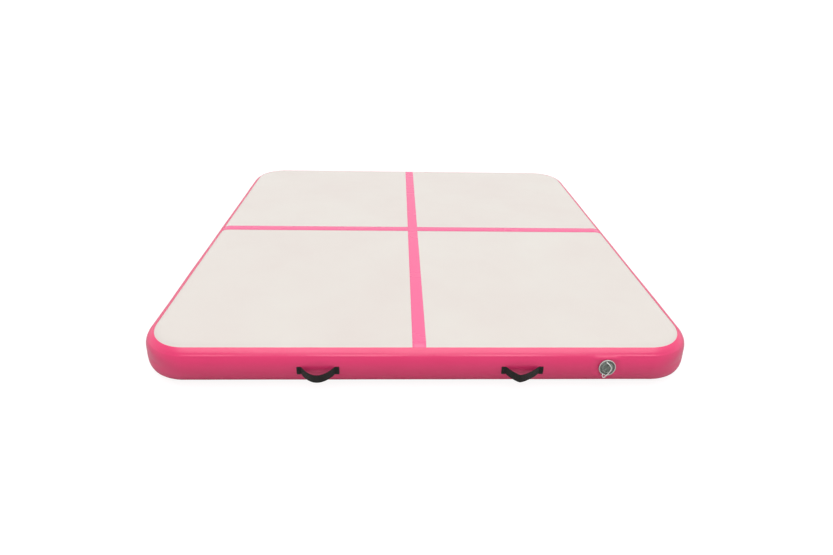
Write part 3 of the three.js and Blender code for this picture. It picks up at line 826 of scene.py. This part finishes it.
def build_yarns():
    """Each row of drop stitches is a bundle of yarns running up and down together."""
    for row in range(1, YARN_ROWS + 1):
        node = f"drop_stitch_row_{row}"
        low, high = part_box(node)
        bundle = []
        for strand in range(YARN_STRANDS):
            x = low.x + (strand + 0.5) * (high.x - low.x) / YARN_STRANDS
            bundle.append(tube(f"strand_{strand}", yarn_path(x, low, high), YARN_RADIUS, 6))
        finished(joined(f"yarn_row_{row}", bundle), "mat", "drop_yarn", YARN, node)


# ---- carry handles


class Strap:
    """The line that a handle's webbing follows, seen from above, and its section."""

    def __init__(self, handle):
        self.handle = handle
        self.distance = np.linspace(-HALF_SPAN, HALF_SPAN, STRAP_SAMPLES)
        from_peak = self.distance - handle.peak
        arm = HALF_SPAN - TAB_LENGTH - np.sign(from_peak) * handle.peak
        bow = STRAP_BOW * (1 - np.minimum(np.abs(from_peak) / arm, 1) ** handle.roundness)
        kernel = bell(np.linspace(-2.5, 2.5, 2 * STRAP_SMOOTHING + 1), 0, math.sqrt(2))
        padded = np.pad(bow, STRAP_SMOOTHING, mode="edge")
        self.bow = np.convolve(padded, kernel / kernel.sum(), mode="valid")
        line = np.stack([self.distance, self.bow], axis=1)
        self.travel = path_lengths(line)
        ahead = np.gradient(line, axis=0)
        self.ahead = ahead / np.linalg.norm(ahead, axis=1)[:, None]

    def station(self, travel):
        """Distance along the mat, bow, and the outward normal, at a length of webbing."""
        distance, bow, ahead_x, ahead_y = (
            np.interp(travel, self.travel, values)
            for values in (self.distance, self.bow, self.ahead[:, 0], self.ahead[:, 1])
        )
        normal = np.array([-ahead_y, ahead_x])
        return distance, bow, normal / np.linalg.norm(normal)

    def point(self, travel, up, lift):
        """A point of the webbing: up is from its middle and lift is from its inner face."""
        distance, bow, normal = self.station(travel)
        hug = 1 - float(smoothstep(bow, 0, HUG_BOW))
        sewn_tight = 1 - SEWN_NARROWING * hug
        z = self.handle.z - STRAP_DROOP * bow / STRAP_BOW + up * sewn_tight
        radius = WALL_RADIUS + GAP
        fall_back = radius - math.sqrt(radius**2 - (z - MID) ** 2)
        along = distance + normal[0] * lift
        out = BASE + radius - hug * fall_back + bow + normal[1] * lift
        return (self.handle.x + along, self.handle.side * out, z)


def webbing_section(width, thickness):
    """Points round a strap's section with soft selvages: (up, lift) pairs."""
    half = width / 2
    edge = [(half, 0.5), (half - 0.25 * thickness, 0.86)]
    face = [(u * (half - 0.6 * thickness), 1.0) for u in np.linspace(1, -1, 9)]
    outer = edge + face + [(-u, l) for u, l in edge[::-1]]
    inner = [(u, 1 - l) for u, l in outer[::-1]][1:-1]
    return [(u, l * thickness) for u, l in outer + inner]


def strap_body(handle, strap):
    """The whole strap, one length of webbing from tab to tab."""
    section = webbing_section(STRAP_WIDTH, STRAP_THICKNESS)
    travels = np.linspace(0, strap.travel[-1], STRAP_ROWS)
    rows = [[strap.point(travel, up, lift) for up, lift in section] for travel in travels]
    across = path_lengths(section + section[:1]) - STRAP_WIDTH
    obj = lattice(f"{handle.name}_strap", rows, across, travels, turns=False, capped=True)
    turn_uv(obj.data)
    finished(obj, None, "webbing", WEBBING, *[
        f"{handle.name}_strap_{part}" for part in ("end_a", "end_b", "loop")
    ])
    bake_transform(obj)


def turn_uv(mesh):
    """Swaps UV's axes, so that X runs along the webbing."""
    layer = mesh.uv_layers[0].data
    uv = np.zeros(len(layer) * 2, np.float32)
    layer.foreach_get("uv", uv)
    layer.foreach_set("uv", uv.reshape(-1, 2)[:, ::-1].ravel())


def folded_tab(handle, strap, end):
    """The cut end of the webbing, folded back over itself and sewn through."""
    middle = STRAP_THICKNESS + 0.05 * MM + FOLD_THICKNESS / 2
    section = webbing_section(STRAP_WIDTH + 0.6 * MM, FOLD_THICKNESS)
    length = TAB_LENGTH - 0.8 * MM
    edge = [0, 0.3 * MM, 0.9 * MM]
    travels = [*edge, *np.linspace(2 * MM, length - 2 * MM, 7), *[length - e for e in edge[::-1]]]
    slims = [0.45, 0.75, 0.95] + [1] * 7 + [0.95, 0.75, 0.45]
    rows = []
    for travel, slim in zip(travels, slims):
        along = travel if end == "a" else strap.travel[-1] - travel
        rows.append([
            strap.point(along, up, middle + (lift - FOLD_THICKNESS / 2) * slim)
            for up, lift in section
        ])
    across = np.linspace(-STRAP_WIDTH, STRAP_WIDTH, len(section) + 1)
    obj = lattice(f"{handle.name}_tab_{end}", rows, across, travels, turns=False, capped=True)
    turn_uv(obj.data)
    return finished(obj, "mat", "webbing", WEBBING)


def stitch(strap, start, end, lift):
    """One stitch between two (travel, up) places, a short thread that dips at its ends."""
    path = []
    for t in np.linspace(0, 1, 6):
        travel = start[0] + (end[0] - start[0]) * t
        up = start[1] + (end[1] - start[1]) * t
        dip = STITCH_RADIUS * (2.2 * math.sin(math.pi * t) - 1.2)
        path.append(strap.point(travel, up, lift + dip))
    return tube("stitch", path, STITCH_RADIUS, 6)


def box_stitching(handle, strap, end):
    """A sewn box with crossed diagonals on a tab."""
    lift = STRAP_THICKNESS + FOLD_THICKNESS + 0.1 * MM
    low, high = 2.4 * MM, TAB_LENGTH - 3.2 * MM
    half = STRAP_WIDTH / 2 - 3 * MM
    corners = [(low, -half), (high, -half), (high, half), (low, half)]
    lines = [*zip(corners, corners[1:] + corners[:1]), corners[::2], corners[1::2]]
    threads = []
    for first, last in lines:
        count = round(math.dist(first, last) / STITCH_LENGTH)
        for i in range(count):
            ends = []
            for t in ((i + 0.1) / count, (i + 0.9) / count):
                travel = first[0] + (last[0] - first[0]) * t
                up = first[1] + (last[1] - first[1]) * t
                ends.append((travel if end == "a" else strap.travel[-1] - travel, up))
            threads.append(stitch(strap, *ends, lift))
    obj = joined(f"{handle.name}_stitching_{end}", threads)
    return finished(obj, "mat", "webbing", THREAD)


def build_handles():
    """Four straps, each with its folded and sewn ends."""
    for handle in HANDLES:
        strap = Strap(handle)
        strap_body(handle, strap)
        for end in ("a", "b"):
            folded_tab(handle, strap, end)
            box_stitching(handle, strap, end)


# ---- valve

# Radii from the valve's axis, and heights along it from the wall
TUBE_RADIUS = 20 * MM
TUBE_END = -32 * MM
BORE_RADIUS = 16.4 * MM
SEAT_RING_RADIUS = 11.5 * MM
SEAT_RING_TOP = -30 * MM
FLANGE_RADIUS = 29.5 * MM
FLANGE_BACK = 1.6 * MM
RECESS_RADIUS = 23.6 * MM
RECESS_FLOOR = 3.2 * MM
RIM_TOP = 6.3 * MM
RING_GROOVE = 4.6 * MM
HUB_RADIUS = 5 * MM
HUB_BORE = 2.7 * MM
HUB_TOP = -25 * MM
HUB_END = -28 * MM
HUB_ARC = [0, 0.2, 0.4, 0.6, 0.8, 1]
ARM_HALF = 1.2 * MM
ARMS = 3

CAP_RADIUS = 20.3 * MM
CAP_TOP = 8.4 * MM
CAP_BACK = 5.3 * MM
CAP_FACE = 19.4 * MM
NECK_RADIUS = 16.7 * MM
NECK_END = 3.5 * MM
SKIRT_RADIUS = 15.8 * MM
SKIRT_BORE = 13 * MM
SKIRT_CEILING = 1.5 * MM
SKIRT_END = -6 * MM
SEAL_GROOVE_RADIUS = 14.9 * MM
SEAL_GROOVE = (-1.4 * MM, -3.2 * MM)
POCKET_DEPTH = 3.9 * MM
POCKET_WALL = (13.2 * MM, 15.2 * MM)
GRIP_BAR_WALL = (2.9 * MM, 4.4 * MM)
CROWN = 0.5 * MM

LEASH_RADIUS = 1.7 * MM
LEASH_FOOT = (-15.5 * MM, -22.4 * MM, 0)
SPRING_COILS = 4.5
SPRING_RADIUS = 4.4 * MM
WIRE_RADIUS = 0.45 * MM
SPRING_ENDS = (-13.8 * MM, -24.1 * MM)


def valve_matrix():
    """The valve's own frame: X right, Y up its face and Z outward along its axis."""
    z = VALVE_AXIS
    x = Vector((1, 0, 0))
    y = z.cross(x)
    matrix = Matrix((x, y, z)).transposed().to_4x4()
    matrix.translation = VALVE_ORIGIN
    return matrix


VALVE_MATRIX = valve_matrix()


def lathe(name, profile, segments=96, height=None):
    """A profile of (radius, z) pairs turned about the valve's axis.

    It starts and ends on the axis, or else closes on itself. height, if given, adjusts
    z from the row's number, x and y.
    """
    solid = profile[0][0] == 0 and profile[-1][0] == 0
    turning = profile[1:-1] if solid else profile
    angle = np.linspace(0, 2 * np.pi, segments, endpoint=False)
    rows = []
    for i, (radius, z) in enumerate(turning):
        x, y = radius * np.cos(angle), radius * np.sin(angle)
        level = np.full(segments, z) if height is None else height(i, z, x, y)
        rows.append(np.stack([x, y, level], axis=-1))
    obj = lattice(name, rows, turns=not solid, capped=solid, sharp_degrees=32)
    obj.data.transform(VALVE_MATRIX)
    return obj


def filleted(corners, closed=True, radius=0.4 * MM):
    """A profile with each corner turned into a short curve. Points on the axis stay."""
    made = []
    count = len(corners)
    for i, corner in enumerate(corners):
        at_end = not closed and i in (0, count - 1)
        if at_end or corner[0] == 0:
            made.append(corner)
            continue
        here = np.array(corner)
        before = np.array(corners[i - 1])
        after = np.array(corners[(i + 1) % count])
        cut = min(radius, 0.42 * math.dist(here, before), 0.42 * math.dist(here, after))
        first = here + (before - here) / max(math.dist(here, before), 1e-9) * cut
        last = here + (after - here) / max(math.dist(here, after), 1e-9) * cut
        for t in (0, 0.33, 0.67, 1):
            point = (1 - t) ** 2 * first + 2 * t * (1 - t) * here + t**2 * last
            made.append(tuple(point))
    return made


def build_housing():
    """Flange with a groove for the leash's ring, and the tube with its seat."""
    profile = [
        (BORE_RADIUS, RECESS_FLOOR), (RECESS_RADIUS, RECESS_FLOOR),
        (RECESS_RADIUS + 0.8 * MM, RIM_TOP - 0.4 * MM), (RECESS_RADIUS + 1.6 * MM, RIM_TOP),
        (RECESS_RADIUS + 2 * MM, RING_GROOVE), (FLANGE_RADIUS - 0.5 * MM, RING_GROOVE),
        (FLANGE_RADIUS, RING_GROOVE - 0.7 * MM), (FLANGE_RADIUS, FLANGE_BACK + 0.8 * MM),
        (FLANGE_RADIUS - 0.8 * MM, FLANGE_BACK), (TUBE_RADIUS, FLANGE_BACK),
        (TUBE_RADIUS, TUBE_END), (SEAT_RING_RADIUS, TUBE_END),
        (SEAT_RING_RADIUS, SEAT_RING_TOP), (BORE_RADIUS, SEAT_RING_TOP),
    ]
    housing = lathe("valve_body", filleted(profile))
    finished(housing, "mat", "valve_plastic", VALVE_PLASTIC, "valve_housing")


def build_leash_base():
    """The leash's fixed ring, snapped round the flange, with the boss the leash leaves."""
    ring_section = np.array([
        (25.9, 4.7), (29.3, 4.7), (29.8, 5.6), (29.3, 6.8), (28.0, 7.4), (26.6, 7.2), (25.9, 6.3),
    ]) * MM
    ring = lathe("leash_base_ring", filleted(ring_section, radius=0.6 * MM))
    finished(ring, "mat", "leash_plastic", RING_PLASTIC)
    boss_section = np.array([(0, 7.0), (2.4, 7.0), (2.3, 9.6), (1.2, 10.4), (0, 10.5)]) * MM
    boss = lathe("leash_boss", filleted(boss_section), 32)
    boss.data.transform(
        VALVE_MATRIX @ Matrix.Translation(LEASH_FOOT) @ VALVE_MATRIX.inverted())
    finished(boss, "mat", "leash_plastic", LEASH_PLASTIC)


def stem_guide():
    """Hub and three ribs that hold the plunger's stem in the bore."""
    reach = BORE_RADIUS - 0.1 * MM
    root = math.asin(ARM_HALF / HUB_RADIUS)
    tip = math.asin(ARM_HALF / reach)
    pitch = 2 * math.pi / ARMS
    outline = []
    for arm in range(ARMS):
        centre = arm * pitch
        outline += [(reach, centre - tip), (reach, centre + tip)]
        outline += [(HUB_RADIUS, centre + root + (pitch - 2 * root) * t) for t in HUB_ARC]
    outer, angles = np.array(outline).T
    level = np.ones(len(angles))
    bore = HUB_BORE * level
    rows = [
        np.stack([radius * np.cos(angles), radius * np.sin(angles), z * level], axis=-1)
        for radius, z in ((outer, HUB_TOP), (outer, HUB_END), (bore, HUB_END), (bore, HUB_TOP))
    ]
    obj = lattice("stem_guide", rows, sharp_degrees=30)
    obj.data.transform(VALVE_MATRIX)
    finished(obj, "mat", "valve_plastic", VALVE_PLASTIC)


def build_cap():
    """Plug cap whose face has two finger pockets beside a diagonal grip bar."""
    rings = np.concatenate([
        np.arange(0.4, 12.6, 0.6), np.arange(12.6, 15.8, 0.2), np.arange(15.8, 19.4, 0.6),
    ]) * MM
    high, low = SEAL_GROOVE
    edge_and_skirt = filleted([
        (CAP_FACE, CAP_TOP), (CAP_RADIUS, CAP_TOP - 0.5 * MM), (CAP_RADIUS, CAP_BACK),
        (NECK_RADIUS, CAP_BACK), (NECK_RADIUS, NECK_END), (SKIRT_RADIUS, NECK_END),
        (SKIRT_RADIUS, high), (SEAL_GROOVE_RADIUS, high), (SEAL_GROOVE_RADIUS, low),
        (SKIRT_RADIUS, low), (SKIRT_RADIUS, SKIRT_END), (SKIRT_BORE, SKIRT_END),
        (SKIRT_BORE, SKIRT_CEILING), (1 * MM, SKIRT_CEILING),
    ], closed=False, radius=0.5 * MM)
    profile = [(0, CAP_TOP), *[(r, CAP_TOP) for r in rings], *edge_and_skirt, (0, SKIRT_CEILING)]

    def height(row, z, x, y):
        """The face sinks into the pockets and swells a little elsewhere."""
        if row >= len(rings):
            return np.full(len(x), z)
        radius = np.hypot(x, y)
        beside_bar = smoothstep(np.abs(y - x) / math.sqrt(2), *GRIP_BAR_WALL)
        pocket = (1 - smoothstep(radius, *POCKET_WALL)) * beside_bar
        crown = CROWN * (1 - (radius / CAP_RADIUS) ** 2)
        return z - POCKET_DEPTH * pocket + crown * (1 - pocket)

    cap = lathe("cap", profile, 168, height)
    finished(cap, "cap", "cap_plastic", CAP_PLASTIC, "valve_cap")


def leash_route():
    """A smooth line through points in the valve's frame: a loop below it, then over the cap."""
    stops = np.array([
        (-15.5, -21.5, 8.8), (-16.2, -27.5, 10), (-12.6, -34.2, 11.2), (-9.6, -33, 12.4),
        (-5.8, -26, 14.4), (0, -18.4, 15.6), (6.4, -8.7, 16), (9.7, 1.1, 16), (8.1, 8.8, 15.4),
        (3, 15.8, 14), (-2.2, 19.8, 11.8), (-3.7, 21.6, 9.2),
    ]) * MM
    padded = np.vstack([2 * stops[0] - stops[1], stops, 2 * stops[-1] - stops[-2]])
    route = []
    for a, b, c, d in zip(padded, padded[1:], padded[2:], padded[3:]):
        for t in np.linspace(0, 1, 8, endpoint=False):
            route.append(0.5 * (2 * b + (c - a) * t + (2 * a - 5 * b + 4 * c - d) * t**2
                                + (3 * b - a - 3 * c + d) * t**3))
    return [VALVE_MATRIX @ Vector(p) for p in [*route, stops[-1]]]


def build_leash():
    """The leash, a tube along its route from its boss, in a loop below the valve and then over the
    cap.
    """
    leash = tube("leash", leash_route(), LEASH_RADIUS, 16)
    finished(leash, None, "leash_plastic", LEASH_PLASTIC, "cap_leash")
    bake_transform(leash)


def dress_inner_parts():
    """The small parts inside the valve keep their CAD shape, with softened edges."""
    finishes = {
        "leash_ring": LEASH_PLASTIC, "valve_nut": INNER_PLASTIC, "valve_plunger": INNER_PLASTIC,
        "plunger_button": INNER_PLASTIC, "valve_gasket": RUBBER, "plunger_seal": RUBBER,
        "cap_seal": RUBBER, "spring_retainer": STEEL,
    }
    for name, material in finishes.items():
        node = frame["nodes"][name]
        node.data.materials.clear()
        node.data.materials.append(material)
        node.data.shade_smooth()
        node.data.set_sharp_from_angle(angle=math.radians(35))
        bevel = node.modifiers.new("soft_edges", "BEVEL")
        bevel.width = 0.12 * MM
        bevel.segments = 2
        bevel.limit_method = "ANGLE"


def build_spring():
    """The plunger's return spring, four and a half coils of wire round the valve's axis."""
    top, bottom = SPRING_ENDS
    path = []
    for t in np.linspace(0, 1, 109):
        angle = t * SPRING_COILS * 2 * math.pi
        path.append(VALVE_MATRIX @ Vector((
            SPRING_RADIUS * math.cos(angle), SPRING_RADIUS * math.sin(angle),
            top + (bottom - top) * t,
        )))
    spring = tube("spring", path, WIRE_RADIUS, 10)
    finished(spring, None, "spring_steel", STEEL, "plunger_spring")
    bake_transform(spring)


def build_valve():
    """Every piece of the valve."""
    build_housing()
    build_leash_base()
    stem_guide()
    build_cap()
    build_leash()
    build_spring()
    dress_inner_parts()


# ---- room and camera


def wide_plane(name, height, material):
    """A square sheet of floor, far wider than the mat, in pieces of a fair size."""
    reach, cells = 160.0, 16
    stops = np.linspace(-reach, reach, cells + 1)
    points = [(x, y, height) for y in stops for x in stops]
    faces = []
    for row in range(cells):
        for column in range(cells):
            corner = row * (cells + 1) + column
            faces.append((corner, corner + 1, corner + cells + 2, corner + cells + 1))
    mesh = bpy.data.meshes.new(name)
    mesh.from_pydata(points, [], faces)
    plane = bpy.data.objects.new(name, mesh)
    bpy.context.scene.collection.objects.link(plane)
    plane.data.materials.append(material)
    return plane


def build_floor():
    """The pale floor that is seen, over a darker one that sends light back to the mat."""
    seen = wide_plane("floor", -0.4 * MM, new_material(
        "pale_floor", Base_Color=(0.16, 0.16, 0.16, 1), Roughness=0.8, Specular_IOR_Level=0.2,
        Emission_Color=(1, 1, 1, 1), Emission_Strength=0.91,
    ))
    seen.visible_diffuse = False
    seen.visible_glossy = False
    seen.visible_shadow = False
    bounce = wide_plane("floor_bounce", -0.8 * MM, new_material(
        "bounce_floor", Base_Color=(0.48, 0.48, 0.48, 1), Roughness=0.8, Specular_IOR_Level=0.2,
    ))
    bounce.visible_camera = False
    bounce.visible_shadow = False


# Brightness of the studio by direction, upwards and towards the back, as (part of the
# direction from -1 to 1, brightness). The two are multiplied.
STUDIO_BY_HEIGHT = [(-1.0, 0.3), (-0.02, 0.5), (0.02, 0.8), (0.42, 0.8), (0.75, 0.25), (1.0, 0.25)]
STUDIO_BY_DEPTH = [(-1.0, 0.4), (-0.5, 0.5), (0.0, 0.95), (1.0, 1.0)]


def brightness_ramp(tree, coordinate, stops):
    """Grey levels along a coordinate that runs from -1 to 1."""
    position = tree.nodes.new("ShaderNodeMapRange")
    position.inputs["From Min"].default_value = -1
    tree.links.new(coordinate, position.inputs["Value"])
    ramp = tree.nodes.new("ShaderNodeValToRGB")
    tree.links.new(position.outputs["Result"], ramp.inputs["Fac"])
    elements = ramp.color_ramp.elements
    for i, (place_along, level) in enumerate(stops):
        stop = elements[i] if i < 2 else elements.new(0.5)
        stop.position = (place_along + 1) / 2
        stop.color = (level, level, level, 1)
    return ramp.outputs["Color"]


def build_world():
    """A white studio, brightest round the horizon and behind the mat."""
    world = bpy.data.worlds.new("studio")
    world.use_nodes = True
    tree = world.node_tree
    split = tree.nodes.new("ShaderNodeSeparateXYZ")
    direction = tree.nodes.new("ShaderNodeTexCoord").outputs["Generated"]
    tree.links.new(direction, split.inputs["Vector"])
    both = tree.nodes.new("ShaderNodeVectorMath")
    both.operation = "MULTIPLY"
    tree.links.new(brightness_ramp(tree, split.outputs["Z"], STUDIO_BY_HEIGHT), both.inputs[0])
    tree.links.new(brightness_ramp(tree, split.outputs["Y"], STUDIO_BY_DEPTH), both.inputs[1])
    background = tree.nodes["Background"]
    tree.links.new(both.outputs["Vector"], background.inputs["Color"])
    background.inputs["Strength"].default_value = 2.0
    bpy.context.scene.world = world


def soft_sun(name, source, irradiance, spread_degrees):
    """Even light from one direction; source points towards it."""
    light = bpy.data.lights.new(name, "SUN")
    light.energy = irradiance
    light.angle = math.radians(spread_degrees)
    obj = bpy.data.objects.new(name, light)
    obj.rotation_euler = Vector(source).to_track_quat("Z", "Y").to_euler()
    bpy.context.scene.collection.objects.link(obj)


def build_lights():
    """The studio round the mat, and soft light from above and a little in front."""
    build_world()
    soft_sun("overhead", (0.06, -0.14, 1.0), 1.86, 60)


def build_camera():
    """Stands in front of the mat, a little left of its middle, and looks down on it."""
    yaw, pitch, roll = 0.0376, 0.4599, 0.0232
    flat = math.cos(pitch)
    forward = Vector((math.sin(yaw) * flat, math.cos(yaw) * flat, -math.sin(pitch)))
    level = Vector((math.cos(yaw), -math.sin(yaw), 0))
    upright = level.cross(forward)
    right = level * math.cos(roll) + upright * math.sin(roll)
    up = upright * math.cos(roll) - level * math.sin(roll)
    camera = bpy.data.cameras.new("camera")
    camera.sensor_width = 36
    camera.lens = 23.2207
    camera.shift_x = 0.002761
    camera.shift_y = -0.035606
    obj = bpy.data.objects.new("camera", camera)
    matrix = Matrix((right, up, -forward)).transposed().to_4x4()
    matrix.translation = Vector((-0.08787, -2.4692, 1.27787))
    obj.matrix_world = matrix
    bpy.context.scene.collection.objects.link(obj)
    bpy.context.scene.camera = obj


build_chamber()
build_stripes()
build_yarns()
build_handles()
build_valve()
build_floor()
build_lights()
build_camera()
bpy.context.scene.view_settings.view_transform = "Standard"
